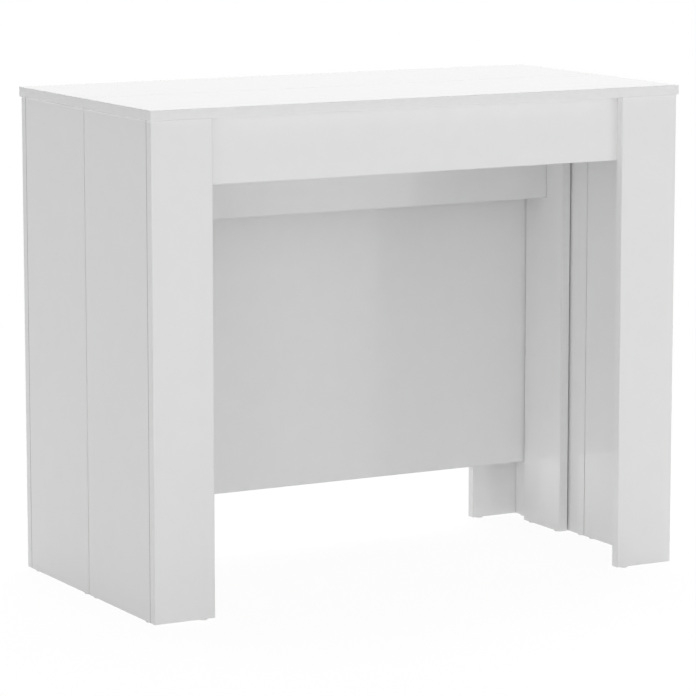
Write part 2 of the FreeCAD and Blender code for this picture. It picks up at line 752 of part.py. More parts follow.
def hang_middle_frame(rail):
    """Saddles that join the cross rail to the middle member of each runner."""
    saddles, board_screws, runner_screws = [], [], []
    for hand, side in SIDES.items():
        middle = f"({RUNNER_OUTER} - {RUNNER_PITCH} * {MIDDLE_MEMBER - 1} - runner_width / 2)"
        seat = (signed(side, middle), RAIL_BACK, RUNNER_FOOT)
        saddles.append((seat, turned("+z")))
        for x, z in SADDLE_PLATE_HOLES:
            on_rail = step(step(seat, "+x", x), "+z", z)
            board_screws.append((step(on_rail, "+y", "saddle_thickness"), turned("-y")))
            drill(rail, on_rail, "-y", "bracket_screw_diameter + 2 * fit_clearance",
                  "board_screw_length - saddle_thickness + fit_clearance")
        under_member = step(seat, "+y", SADDLE_TONGUE_HOLE)
        runner_screws.append((step(under_member, "-z", "saddle_thickness"), turned("+z")))
        drill_member(runners[hand, MIDDLE_MEMBER], hand, under_member, "+z")
    copies("middle_saddle_brackets", saddle, saddles)
    copies("middle_saddle_board_screws", board_screw, board_screws)
    copies("middle_saddle_runner_screws", runner_screw, runner_screws)


runners = {(hand, number): make_runner_member(hand, number)
           for hand in SIDES for number in range(1, RUNNER_MEMBERS + 1)}
angle_bracket = make_angle_bracket()
saddle = make_saddle()
front_fixings = Fixings()
rear_fixings = Fixings()
middle_fixings = Fixings()
front_top = make_half("front", front_fixings)
rear_top = make_half("rear", rear_fixings)
make_back_panel(rear_fixings)
cross_rail = make_middle_frame(middle_fixings)
make_pegs(front_top, rear_top)
hang_runner("rear", rear_top, 1)
hang_runner("front", front_top, RUNNER_MEMBERS)
hang_middle_frame(cross_rail)
front_fixings.write("front")
rear_fixings.write("rear")
middle_fixings.write("middle")
document.recompute()

# Nothing is written unless every object is sound
faults = [thing.Label for thing in document.Objects
          if {"Invalid", "Error"} & set(thing.State)]
faults += [thing.Label for thing in nodes if thing.Shape.isNull() or not thing.Shape.isValid()]
if faults:
    raise RuntimeError("not sound: " + ", ".join(faults))

os.makedirs("parts", exist_ok=True)
for thing in nodes:
    thing.Shape.exportStep(f"parts/{thing.Label}.step")
print(f"{len(nodes)} nodes, {sum(len(thing.Shape.Solids) for thing in nodes)} solids")
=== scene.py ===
"""Extendable console table in white melamine board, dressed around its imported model.

Lengths are in metres. X runs along the table's width, the front half draws out towards -Y,
and Z is up from the floor.
"""

import json
from math import radians

import bmesh
import bpy
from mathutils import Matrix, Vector


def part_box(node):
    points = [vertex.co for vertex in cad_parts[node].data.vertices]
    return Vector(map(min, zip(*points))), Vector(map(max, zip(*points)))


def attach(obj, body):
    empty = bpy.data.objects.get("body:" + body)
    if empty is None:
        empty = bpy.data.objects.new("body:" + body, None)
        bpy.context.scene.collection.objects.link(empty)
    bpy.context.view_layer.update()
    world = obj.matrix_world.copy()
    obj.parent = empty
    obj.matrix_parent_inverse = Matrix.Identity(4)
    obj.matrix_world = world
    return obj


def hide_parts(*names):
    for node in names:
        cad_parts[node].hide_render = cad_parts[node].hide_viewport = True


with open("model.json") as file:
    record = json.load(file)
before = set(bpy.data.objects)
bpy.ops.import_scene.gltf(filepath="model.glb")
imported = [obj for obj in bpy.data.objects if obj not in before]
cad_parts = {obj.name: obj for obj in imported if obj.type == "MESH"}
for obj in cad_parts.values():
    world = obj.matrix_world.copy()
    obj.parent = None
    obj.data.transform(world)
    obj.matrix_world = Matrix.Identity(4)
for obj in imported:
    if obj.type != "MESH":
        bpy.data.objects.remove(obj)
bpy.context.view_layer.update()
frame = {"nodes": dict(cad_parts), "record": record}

# Table tops
# Two cut boards of 15 mm chipboard that meet at mid depth. Both faces carry white melamine
# paper, pressed on hot, and every edge that shows is banded with white plastic edging.
MM = 0.001
BAND_THICKNESS = 0.8 * MM
JOINT_LINE_WIDTH = 0.3 * MM
OUTER_FACE_REACH = 0.6 * MM
LEAST_OUTWARD_SHARE = 0.5
SAME_POINT = 0.001 * MM
SHARP_ANGLE = radians(60)
# Nearly all values of a noise texture lie between these
NOISE_RANGE = (0.35, 0.65)
# The press plate's grain is 0.2 mm; it is drawn at 1.6 mm so that it shows
PEARL_GRAIN = 1.6 * MM
CORE_PRINT = 9 * MM
EDGING_GRAIN = 1.2 * MM
CHIP_SIZE = 1.3 * MM
PIT_SIZE = 0.8 * MM


def linear(code):
    """The linear colour of an sRGB hex code."""
    shares = [int(code[place:place + 2], 16) / 255 for place in (0, 2, 4)]
    return [share / 12.92 if share <= 0.04045 else ((share + 0.055) / 1.055) ** 2.4
            for share in shares] + [1]


def add(tree, kind, settings=None, inputs=None):
    """Add a node with its settings; an input takes a value, a socket or a Measure."""
    node = tree.nodes.new(kind)
    for name, value in (settings or {}).items():
        setattr(node, name, value)
    for name, value in (inputs or {}).items():
        value = getattr(value, "socket", value)
        if isinstance(value, bpy.types.NodeSocket):
            tree.links.new(value, node.inputs[name])
        else:
            node.inputs[name].default_value = value
    return node


def new_material(name):
    """An empty material and its node tree."""
    material = bpy.data.materials.new(name)
    material.use_nodes = True
    material.node_tree.nodes.clear()
    return material, material.node_tree


def surfaced(material, shader):
    """The material, with a shader's output as its surface."""
    add(material.node_tree, "ShaderNodeOutputMaterial", {}, {"Surface": shader})
    return material


def mottle(tree, dark, light, size, vector=None):
    """Noise between two colours, its lumps about as large as the size."""
    if vector is None:
        vector = add(tree, "ShaderNodeTexCoord").outputs["Object"]
    noise = add(tree, "ShaderNodeTexNoise", {},
                {"Vector": vector, "Scale": 1 / size, "Detail": 3})
    ramp = add(tree, "ShaderNodeValToRGB", {}, {"Fac": noise.outputs["Fac"]})
    for stop, position, code in zip(ramp.color_ramp.elements, NOISE_RANGE, (dark, light)):
        stop.position = position
        stop.color = linear(code)
    return ramp.outputs["Color"], noise.outputs["Fac"]


def make_melamine():
    """White melamine facing, pressed between plates of a fine pearl grain.

    The paper is an even white. The resin over it mirrors what stands near, faintly, and its
    grain breaks that image up into a fine speckle.
    """
    material, tree = new_material("white_melamine_facing")
    place = add(tree, "ShaderNodeTexCoord").outputs["Object"]
    paper, _ = mottle(tree, dark="F4F4F4", light="F5F5F5", size=30 * MM, vector=place)
    pearl = add(tree, "ShaderNodeTexNoise", {}, {"Vector": place, "Scale": 1 / PEARL_GRAIN,
                                                 "Detail": 2})
    chips = add(tree, "ShaderNodeTexNoise", {}, {"Vector": place, "Scale": 1 / CORE_PRINT})
    waves = add(tree, "ShaderNodeBump", {}, {"Height": chips.outputs["Fac"],
                                             "Distance": 0.01 * MM})
    relief = add(tree, "ShaderNodeBump", {}, {"Height": pearl.outputs["Fac"],
                                              "Distance": 0.012 * MM,
                                              "Normal": waves.outputs["Normal"]})
    # The band's cut edge and its glue joint run round the face, just inside its edges
    from_low = add(tree, "ShaderNodeAttribute", {"attribute_name": "from_low"})
    from_high = add(tree, "ShaderNodeAttribute", {"attribute_name": "from_high"})
    nearest = add(tree, "ShaderNodeVectorMath", {"operation": "MINIMUM"},
                  {0: from_low.outputs["Vector"], 1: from_high.outputs["Vector"]})
    parts = add(tree, "ShaderNodeSeparateXYZ", {}, {"Vector": nearest.outputs["Vector"]})
    least = add(tree, "ShaderNodeMath", {"operation": "MINIMUM"},
                {0: parts.outputs["X"], 1: parts.outputs["Y"]})
    inset = add(tree, "ShaderNodeMath", {"operation": "MINIMUM"},
                {0: least.outputs["Value"], 1: parts.outputs["Z"]})
    joint = add(tree, "ShaderNodeMath", {"operation": "COMPARE"},
                {0: inset.outputs["Value"], 1: BAND_THICKNESS, 2: JOINT_LINE_WIDTH / 2})
    colour = add(tree, "ShaderNodeMix", {"data_type": "RGBA"},
                 {"Factor": joint.outputs["Value"], 6: paper, 7: linear("E0E0E0")})
    shader = add(tree, "ShaderNodeBsdfPrincipled", {},
                 {"Base Color": colour.outputs[2], "Roughness": 0.08, "IOR": 1.62,
                  "Normal": relief.outputs["Normal"]})
    return surfaced(material, shader.outputs["BSDF"])


def make_edging():
    """White ABS edging, extruded as a strip, glued on hot and scraped flush."""
    material, tree = new_material("white_abs_edging")
    place = add(tree, "ShaderNodeTexCoord").outputs["Object"]
    white, _ = mottle(tree, dark="F4F4F4", light="F6F6F6", size=12 * MM, vector=place)
    grain = add(tree, "ShaderNodeTexNoise", {}, {"Vector": place, "Scale": 1 / EDGING_GRAIN})
    relief = add(tree, "ShaderNodeBump", {}, {"Height": grain.outputs["Fac"],
                                              "Distance": 0.012 * MM})
    shader = add(tree, "ShaderNodeBsdfPrincipled", {},
                 {"Base Color": white, "Roughness": 0.2, "IOR": 1.53,
                  "Normal": relief.outputs["Normal"]})
    return surfaced(material, shader.outputs["BSDF"])


def make_chipboard():
    """Raw chipboard, sawn: pressed softwood chips, tan with darker and paler flakes."""
    material, tree = new_material("raw_chipboard")
    place = add(tree, "ShaderNodeTexCoord").outputs["Object"]
    flakes = add(tree, "ShaderNodeTexVoronoi", {}, {"Vector": place, "Scale": 1 / CHIP_SIZE,
                                                    "Randomness": 1})
    tone = add(tree, "ShaderNodeSeparateColor", {}, {"Color": flakes.outputs["Color"]})
    ramp = add(tree, "ShaderNodeValToRGB", {}, {"Fac": tone.outputs["Red"]})
    darkest, palest = ramp.color_ramp.elements
    darkest.color = linear("9A8060")
    palest.color = linear("CFBB99")
    middle = ramp.color_ramp.elements.new((darkest.position + palest.position) / 2)
    middle.color = linear("B9A07C")
    pits = add(tree, "ShaderNodeTexNoise", {}, {"Vector": place, "Scale": 1 / PIT_SIZE,
                                                "Detail": 4})
    relief = add(tree, "ShaderNodeBump", {}, {"Height": pits.outputs["Fac"],
                                              "Distance": 0.3 * MM})
    shader = add(tree, "ShaderNodeBsdfPrincipled", {},
                 {"Base Color": ramp.outputs["Color"], "Roughness": 0.9,
                  "Normal": relief.outputs["Normal"]})
    return surfaced(material, shader.outputs["BSDF"])


def make_painted_joint_shade():
    """Painted shade in the hairline where one board butts on another: a grey for its shadow."""
    material, tree = new_material("painted_joint_shade")
    tone, _ = mottle(tree, dark="7C7B79", light="949391", size=5 * MM)
    shader = add(tree, "ShaderNodeBsdfPrincipled", {}, {"Base Color": tone, "Roughness": 0.8})
    return surfaced(material, shader.outputs["BSDF"])


# The last of these is painted shade, laid in the butt joints
BOARD_MATERIALS = (make_melamine(), make_edging(), make_chipboard(), make_painted_joint_shade())
FACING, EDGING, CHIPBOARD, JOINT_SHADE = range(len(BOARD_MATERIALS))
BODY_OF = {node: body for body, nodes in frame["record"]["behaviour"]["bodies"].items()
           for node in nodes}


def merged_copy(node):
    """A bmesh of a CAD node, with its loose triangles joined."""
    work = bmesh.new()
    work.from_mesh(frame["nodes"][node].data)
    bmesh.ops.remove_doubles(work, verts=work.verts, dist=SAME_POINT)
    return work


def new_piece(name, mesh, nodes):
    """A finished piece that stands for nodes of one body and moves with it."""
    piece = bpy.data.objects.new(name, mesh)
    bpy.context.scene.collection.objects.link(piece)
    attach(piece, BODY_OF[nodes[0]])
    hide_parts(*nodes)
    return piece


def faced_board(node, raw_edges, butted=()):
    """A board with its facing, its banded edges, and bare chipboard in the bores.

    The raw edges, such as +z for the upper one, are sawn, have no band and butt on another
    board. The butted corner, such as +y -x, lies between two sides and runs along a joint.
    """
    low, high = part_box(node)
    reach = high - low
    thin = min(range(3), key=lambda axis: reach[axis])
    raw, butted = ({("xyz".index(axis), sign == "+") for sign, axis in sides}
                   for sides in (raw_edges, butted))
    work = merged_copy(node)
    for face in work.faces:
        centre = face.calc_center_median()
        near = {(axis, upper) for axis in range(3) for upper, limit in ((False, low), (True, high))
                if abs(centre[axis] - limit[axis]) < OUTER_FACE_REACH}
        outward = {(axis, upper) for axis, upper in near
                   if (face.normal[axis] if upper else -face.normal[axis])
                   > LEAST_OUTWARD_SHARE}
        if not outward:
            face.material_index = CHIPBOARD
        elif len(outward) == 1:
            axis, upper = next(iter(outward))
            face.material_index = (FACING if axis == thin else
                                   CHIPBOARD if (axis, upper) in raw else EDGING)
        else:
            # Chamfers along sawn edges and butted corners lie in joints and get the painted joint
            # shade
            face.material_index = (JOINT_SHADE if outward & raw or outward == butted
                                   else EDGING)
    for edge in work.edges:
        edge.smooth = edge.calc_face_angle(0) < SHARP_ANGLE
    for face in work.faces:
        face.smooth = True
    from_low = work.verts.layers.float_vector.new("from_low")
    from_high = work.verts.layers.float_vector.new("from_high")
    # Sawn edges and broad faces have no band beside them: a metre takes them out of reach
    away_low = Vector([axis == thin or (axis, False) in raw for axis in range(3)])
    away_high = Vector([axis == thin or (axis, True) in raw for axis in range(3)])
    for vert in work.verts:
        vert[from_low] = vert.co - low + away_low
        vert[from_high] = high - vert.co + away_high
    mesh = bpy.data.meshes.new(node + "_board")
    work.to_mesh(mesh)
    work.free()
    for finish in BOARD_MATERIALS:
        mesh.materials.append(finish)
    piece = new_piece(node + "_board", mesh, [node])
    rounding = piece.modifiers.new("rounding", "WEIGHTED_NORMAL")
    rounding.keep_sharp = True
    return piece


faced_board("front_top", ())
faced_board("rear_top", ())

# Aprons
# A board on edge behind each pair of leg plates, screwed to them from behind and locked between
# the side panels. Its upper edge and ends are hidden, so they are left sawn.
for half in ("front", "rear"):
    faced_board(f"{half}_apron", ("+z", "-x", "+x"))

# Leg plates
# Broad uprights of the same board, one at each corner, glued and dowelled over the outer edge of
# a side panel and screwed to the apron.
for half, inner_side in (("front", "+y"), ("rear", "-y")):
    for hand, outer_side in (("left", "-x"), ("right", "+x")):
        faced_board(f"{half}_{hand}_leg_plate", ("+z",), (inner_side, outer_side))

# Side panels
# Each half of the table has its own pair, which meet at the seam down the middle of the side.
for half, joined_edge in (("front", "-y"), ("rear", "+y")):
    for hand in ("left", "right"):
        faced_board(f"{half}_{hand}_side_panel", ("+z", joined_edge))

# Back panel
# It braces the rear half: it stands clear of the floor, locked between the side panels, with its
# ends hidden and sawn.
faced_board("back_panel", ("-x", "+x"))

# Inner leg frame
# Two posts and a cross rail that follow at half the front half's way and carry the runners
# between the two halves.
for hand in ("left", "right"):
    faced_board(f"middle_{hand}_post", ("+z",))
faced_board("middle_cross_rail", ("-x", "+x"))

# Telescopic runners
# Fourteen lengths of one aluminium extrusion family, sawn square and satin anodised. Each
# member's tongue hangs in the groove of the one before it, and a nib stops it when drawn out.
# Die lines run along Y; real ones are some 0.1 mm apart and are drawn at 0.5 mm
DIE_LINE_SPACING = 0.5 * MM
DIE_LINE_STRETCH = 0.01


def make_anodised_aluminium():
    """Satin anodised aluminium: a soft grey metal with faint lines from the extrusion die."""
    material, tree = new_material("satin_anodised_aluminium")
    place = add(tree, "ShaderNodeTexCoord").outputs["Object"]
    drawn = add(tree, "ShaderNodeMapping", {}, {"Vector": place,
                                                "Scale": (1, DIE_LINE_STRETCH, 1)})
    lines = add(tree, "ShaderNodeTexNoise", {}, {"Vector": drawn.outputs["Vector"],
                                                 "Scale": 1 / DIE_LINE_SPACING, "Detail": 2})
    tone, _ = mottle(tree, dark="BFC1C3", light="C9CBCC", size=25 * MM, vector=place)
    rough = add(tree, "ShaderNodeMapRange", {}, {"Value": lines.outputs["Fac"],
                                                 "To Min": 0.3, "To Max": 0.42})
    relief = add(tree, "ShaderNodeBump", {}, {"Height": lines.outputs["Fac"],
                                              "Distance": 0.01 * MM})
    shader = add(tree, "ShaderNodeBsdfPrincipled", {},
                 {"Base Color": tone, "Metallic": 1, "Roughness": rough.outputs["Result"],
                  "Normal": relief.outputs["Normal"]})
    return surfaced(material, shader.outputs["BSDF"])


anodised_aluminium = make_anodised_aluminium()
for node, piece in frame["nodes"].items():
    if "runner_member" in node:
        piece.data.materials.clear()
        piece.data.materials.append(anodised_aluminium)

# Screws
# Zinc plated steel screws with a rolled thread and a pressed cross recess. Countersunk ones
# hold the leg plates to the aprons; pan heads hold the brackets to the boards and the runners.
SCREW_SIDES = 32
THREAD_STEPS = 16
SMOOTH_ANGLE = radians(40)
SLICE = 0.4 * MM
THREAD_WIRE_SHARE = 0.3
CROSS_BLADE_SHARE = 4.5


def make_zinc_plating():
    """Bright zinc over steel: a pale, slightly blue metal with a fine cloudy bloom."""
    material, tree = new_material("bright_zinc_plating")
    tone, cloud = mottle(tree, dark="C0C3C6", light="CDCFD0", size=4 * MM)
    rough = add(tree, "ShaderNodeMapRange", {}, {"Value": cloud, "To Min": 0.26,
                                                 "To Max": 0.34})
    shader = add(tree, "ShaderNodeBsdfPrincipled", {},
                 {"Base Color": tone, "Metallic": 1, "Roughness": rough.outputs["Result"]})
    return surfaced(material, shader.outputs["BSDF"])


def loose_parts(node):
    """The corner points of each separate solid in a CAD node."""
    work = merged_copy(node)
    taken, parts = set(), []
    for first in work.verts:
        if first in taken:
            continue
        taken.add(first)
        edge_of_part, part = [first], []
        while edge_of_part:
            vert = edge_of_part.pop()
            part.append(vert.co.copy())
            for edge in vert.link_edges:
                neighbour = edge.other_vert(vert)
                if neighbour not in taken:
                    taken.add(neighbour)
                    edge_of_part.append(neighbour)
        parts.append(part)
    work.free()
    return parts


def extent(points):
    """The lowest and highest corners of a set of points."""
    return (Vector([min(point[axis] for point in points) for axis in range(3)]),
            Vector([max(point[axis] for point in points) for axis in range(3)]))


def wide_end_places(node):
    """Where each turned fastener of a node has its wider end, and which way it points."""
    places = []
    for part in loose_parts(node):
        low, high = extent(part)
        axis = max(range(3), key=lambda each: (high - low)[each])
        middle = (low + high) / 2
        widths = []
        for limit in (low[axis], high[axis]):
            ring = [point - middle for point in part if abs(point[axis] - limit) < SLICE]
            for point in ring:
                point[axis] = 0
            widths.append(max(point.length for point in ring))
        start = middle.copy()
        start[axis] = low[axis] if widths[0] > widths[1] else high[axis]
        aim = Vector([0, 0, 0])
        aim[axis] = 1 if widths[0] > widths[1] else -1
        places.append((start, aim, aim.orthogonal()))
    return places


class Measure:
    """A number that a node tree works out, with the sums on it written in the usual signs."""

    def __init__(self, tree, socket):
        self.tree = tree
        self.socket = socket

    def worked(self, operation, first, second):
        """What an operation makes of two numbers."""
        node = add(self.tree, "ShaderNodeMath", {"operation": operation}, {0: first, 1: second})
        return Measure(self.tree, node.outputs["Value"])

    def __add__(self, other):
        return self.worked("ADD", self, other)

    def __sub__(self, other):
        return self.worked("SUBTRACT", self, other)

    def __rsub__(self, other):
        return self.worked("SUBTRACT", other, self)

    def __mul__(self, other):
        return self.worked("MULTIPLY", self, other)

    def __truediv__(self, other):
        return self.worked("DIVIDE", self, other)

    def __neg__(self):
        return self * -1


def new_tree(name, sizes):
    """A Geometry Nodes tree with a named input for each size, and what its inputs give."""
    tree = bpy.data.node_groups.new(name, "GeometryNodeTree")
    tree.interface.new_socket("Places", in_out="INPUT", socket_type="NodeSocketGeometry")
    for size, value in sizes.items():
        socket = tree.interface.new_socket(size, in_out="INPUT", socket_type="NodeSocketFloat")
        socket.default_value = value
    tree.interface.new_socket("Fasteners", in_out="OUTPUT", socket_type="NodeSocketGeometry")
    given = add(tree, "NodeGroupInput").outputs
    return tree, {"Places": given["Places"]} | {size: Measure(tree, given[size])
                                                for size in sizes}


def moved(tree, shape, x=0.0, y=0.0, z=0.0, turn=(0, 0, 0)):
    """A shape turned about its origin and then moved."""
    place = add(tree, "ShaderNodeCombineXYZ", {}, {"X": x, "Y": y, "Z": z})
    return add(tree, "GeometryNodeTransform", {},
               {"Geometry": shape, "Translation": place.outputs["Vector"],
                "Rotation": turn}).outputs["Geometry"]


def joined(tree, *shapes):
    """Several shapes as one."""
    together = add(tree, "GeometryNodeJoinGeometry")
    for shape in shapes:
        tree.links.new(shape, together.inputs["Geometry"])
    return together.outputs["Geometry"]


def turned(tree, outline, sides):
    """A closed turned shape, from the radii and heights of its outline."""
    rings = []
    for (low_radius, low), (high_radius, high) in zip(outline, outline[1:]):
        ring = add(tree, "GeometryNodeMeshCone", {"fill_type": "NONE"},
                   {"Vertices": sides, "Radius Bottom": low_radius, "Radius Top": high_radius,
                    "Depth": high - low})
        rings.append(moved(tree, ring.outputs["Mesh"], z=low))
    return add(tree, "GeometryNodeMergeByDistance", {},
               {"Geometry": joined(tree, *rings), "Distance": SAME_POINT}).outputs["Geometry"]


def block(tree, x, y, z):
    """A box of the given width, depth and height, centred on the origin."""
    size = add(tree, "ShaderNodeCombineXYZ", {}, {"X": x, "Y": y, "Z": z})
    return add(tree, "GeometryNodeMeshCube", {},
               {"Size": size.outputs["Vector"]}).outputs["Mesh"]


def cut(tree, shape, *tools):
    """A shape with the room of some tools taken out of it."""
    hollow = add(tree, "GeometryNodeMeshBoolean",
                 {"operation": "DIFFERENCE", "solver": "EXACT"}, {"Mesh 1": shape})
    for tool in tools:
        tree.links.new(tool, hollow.inputs["Mesh 2"])
    return hollow.outputs["Mesh"]


def thread(tree, radius, height, length, pitch):
    """A rolled thread: a three-sided wire wound round the shank."""
    wire = add(tree, "GeometryNodeCurvePrimitiveCircle", {},
               {"Resolution": 3, "Radius": pitch * THREAD_WIRE_SHARE})
    coil = add(tree, "GeometryNodeCurveSpiral", {},
               {"Resolution": THREAD_STEPS, "Rotations": length / pitch,
                "Start Radius": radius, "End Radius": radius, "Height": length})
    rib = add(tree, "GeometryNodeCurveToMesh", {},
              {"Curve": coil.outputs["Curve"], "Profile Curve": wire.outputs["Curve"],
               "Fill Caps": True})
    return moved(tree, rib.outputs["Mesh"], z=height)


def cross_blades(tree, width, depth):
    """The two blades of a cross driver, set in from the wide end's face."""
    blade = width / CROSS_BLADE_SHARE
    return block(tree, width, blade, depth * 2), block(tree, blade, width, depth * 2)


def set_in_places(tree, entry, shape, finish=None):
    """One shape at each place, smooth where it is round, painted unless its parts are."""
    angle = add(tree, "GeometryNodeInputMeshEdgeAngle")
    crisp = add(tree, "FunctionNodeCompare", {"data_type": "FLOAT",
                                              "operation": "GREATER_THAN"},
                {0: angle.outputs["Unsigned Angle"], 1: SMOOTH_ANGLE})
    soft = add(tree, "GeometryNodeSetShadeSmooth", {"domain": "FACE"},
               {"Geometry": shape, "Shade Smooth": True})
    shaded = add(tree, "GeometryNodeSetShadeSmooth", {"domain": "EDGE"},
                 {"Geometry": soft.outputs["Geometry"], "Selection": crisp.outputs["Result"],
                  "Shade Smooth": False})
    own_place = add(tree, "GeometryNodeStoreNamedAttribute",
                    {"data_type": "FLOAT_VECTOR", "domain": "POINT"},
                    {"Geometry": shaded.outputs["Geometry"], "Name": "own_place"})
    tree.links.new(add(tree, "GeometryNodeInputPosition").outputs["Position"],
                   own_place.inputs["Value"])
    turn = (0, 0, 0)
    for direction, axis, pivot in (("aim", "Z", "AUTO"), ("side", "X", "Z")):
        vector = add(tree, "GeometryNodeInputNamedAttribute", {"data_type": "FLOAT_VECTOR"},
                     {"Name": direction})
        turn = add(tree, "FunctionNodeAlignRotationToVector",
                   {"axis": axis, "pivot_axis": pivot},
                   {"Rotation": turn, "Vector": vector.outputs["Attribute"]}
                   ).outputs["Rotation"]
    copies = add(tree, "GeometryNodeInstanceOnPoints", {},
                 {"Points": entry["Places"], "Instance": own_place.outputs["Geometry"],
                  "Rotation": turn})
    real = add(tree, "GeometryNodeRealizeInstances", {},
               {"Geometry": copies.outputs["Instances"]})
    if finish is not None:
        real = add(tree, "GeometryNodeSetMaterial", {},
                   {"Geometry": real.outputs["Geometry"], "Material": finish})
    add(tree, "NodeGroupOutput", {}, {"Fasteners": real.outputs["Geometry"]})


def fastened(node, places, tree, sizes):
    """The piece that a tree makes of a node's places and the sizes given to it."""
    cloud = bpy.data.meshes.new(node + "_places")
    cloud.from_pydata([place[0] for place in places], [], [])
    for column, name in ((1, "aim"), (2, "side")):
        layer = cloud.attributes.new(name, "FLOAT_VECTOR", "POINT")
        for item, place in zip(layer.data, places):
            item.vector = place[column]
    carrier = bpy.data.objects.new(node + "_carrier", cloud)
    bpy.context.scene.collection.objects.link(carrier)
    grower = carrier.modifiers.new("grower", "NODES")
    grower.node_group = tree
    for item in tree.interface.items_tree:
        if item.in_out == "INPUT" and item.name in sizes:
            grower[item.identifier] = sizes[item.name]
    mesh = bpy.data.meshes.new_from_object(
        carrier.evaluated_get(bpy.context.evaluated_depsgraph_get()))
    mesh.name = node + "_piece"
    if mesh.materials[0] is None:
        mesh.materials.pop(index=0)
    bpy.data.objects.remove(carrier)
    return new_piece(node + "_piece", mesh, [node])


zinc_plating = make_zinc_plating()
screw_tree, screw = new_tree("screws", {
    "Crown radius": 2.3 * MM, "Rim radius": 3.5 * MM, "Rim height": 1.1 * MM,
    "Base radius": 3.5 * MM, "Head height": 2.2 * MM, "Core radius": 1.2 * MM,
    "Length": 15.2 * MM, "Point length": 2 * MM, "Pitch": 1.4 * MM, "Recess width": 3.6 * MM,
    "Recess depth": 1.4 * MM})
point_start = screw["Length"] - screw["Point length"]
screw_shape = cut(
    screw_tree,
    turned(screw_tree, ((0, 0), (screw["Crown radius"], 0),
                        (screw["Rim radius"], screw["Rim height"]),
                        (screw["Base radius"], screw["Head height"]),
                        (screw["Core radius"], screw["Head height"]),
                        (screw["Core radius"], point_start), (0, screw["Length"])), SCREW_SIDES),
    *cross_blades(screw_tree, screw["Recess width"], screw["Recess depth"]))
set_in_places(screw_tree, screw,
              joined(screw_tree, screw_shape,
                     thread(screw_tree, screw["Core radius"], screw["Head height"],
                            point_start - screw["Head height"], screw["Pitch"])),
              zinc_plating)

FLAT_HEAD = {"Crown radius": 3.8 * MM, "Rim radius": 3.8 * MM, "Rim height": 0.25 * MM,
             "Base radius": 1.45 * MM, "Head height": 2.4 * MM, "Core radius": 1.45 * MM,
             "Length": 25 * MM, "Point length": 3 * MM, "Pitch": 1.8 * MM,
             "Recess width": 4.4 * MM, "Recess depth": 1.8 * MM}
PAN_HEAD_IN_BOARD = {"Length": 15.2 * MM}
PAN_HEAD_IN_RUNNER = {"Length": 8.7 * MM, "Pitch": 1.1 * MM}
for half in ("front", "rear"):
    for kind, sizes in (("apron_screws", FLAT_HEAD), ("bracket_board_screws", PAN_HEAD_IN_BOARD),
                        ("bracket_runner_screws", PAN_HEAD_IN_RUNNER)):
        node = f"{half}_{kind}"
        fastened(node, wide_end_places(node), screw_tree, sizes)
for node, sizes in (("middle_saddle_board_screws", PAN_HEAD_IN_BOARD),
                    ("middle_saddle_runner_screws", PAN_HEAD_IN_RUNNER)):
    fastened(node, wide_end_places(node), screw_tree, sizes)

# Cam bolts
# Turned and plated steel bolts, screwed into one board: a collar stops them at its face, and
# the cam in the other board grips the head at the far end of the neck.
LEG_FRAMES = ("front", "rear", "middle")
bolt_tree, bolt = new_tree("cam_bolts", {
    "Head radius": 3.3 * MM, "Head height": 3 * MM, "Neck radius": 2 * MM,
    "Neck end": 22 * MM, "Collar radius": 3.8 * MM, "Collar end": 24 * MM,
    "Core radius": 2.1 * MM, "Length": 35 * MM, "Point length": 1.5 * MM, "Pitch": 2 * MM,
    "Recess width": 3.2 * MM, "Recess depth": 1.6 * MM, "Edge": 0.5 * MM})
bolt_point = bolt["Length"] - bolt["Point length"]
bolt_shape = cut(
    bolt_tree,
    turned(bolt_tree, ((0, 0), (bolt["Head radius"] - bolt["Edge"], 0),
                       (bolt["Head radius"], bolt["Edge"]),
                       (bolt["Head radius"], bolt["Head height"] - bolt["Edge"]),
                       (bolt["Neck radius"], bolt["Head height"]),
                       (bolt["Neck radius"], bolt["Neck end"]),
                       (bolt["Collar radius"], bolt["Neck end"]),
                       (bolt["Collar radius"], bolt["Collar end"]),
                       (bolt["Core radius"], bolt["Collar end"]),
                       (bolt["Core radius"], bolt_point),
                       (bolt["Core radius"] - bolt["Edge"], bolt["Length"]),
                       (0, bolt["Length"])), SCREW_SIDES),
    *cross_blades(bolt_tree, bolt["Recess width"], bolt["Recess depth"]))
set_in_places(bolt_tree, bolt,
              joined(bolt_tree, bolt_shape,
                     thread(bolt_tree, bolt["Core radius"], bolt["Collar end"],
                            bolt_point - bolt["Collar end"], bolt["Pitch"])),
              zinc_plating)
for frame_name in LEG_FRAMES:
    node = frame_name + "_cam_bolts"
    fastened(node, wide_end_places(node), bolt_tree, {})

# Cam locks
# Die-cast zinc drums, pressed into blind bores: a turn with a cross driver draws in the head of
# the bolt that enters at the side. An arrow on the face points to the joint.
CAM_SIDES = 48
NECK_WAY_MIDDLE_SHARE = 0.6
ARROW_HEIGHT_SHARE = 0.7


def make_die_cast_zinc():
    """Die-cast zinc alloy, tumbled: a dull, darker grey metal with a slightly rough skin."""
    material, tree = new_material("tumbled_die_cast_zinc")
    tone, lumps = mottle(tree, dark="8F9294", light="A6A8A9", size=1.5 * MM)
    relief = add(tree, "ShaderNodeBump", {}, {"Height": lumps, "Distance": 0.05 * MM})
    shader = add(tree, "ShaderNodeBsdfPrincipled", {},
                 {"Base Color": tone, "Metallic": 1, "Roughness": 0.48,
                  "Normal": relief.outputs["Normal"]})
    return surfaced(material, shader.outputs["BSDF"])


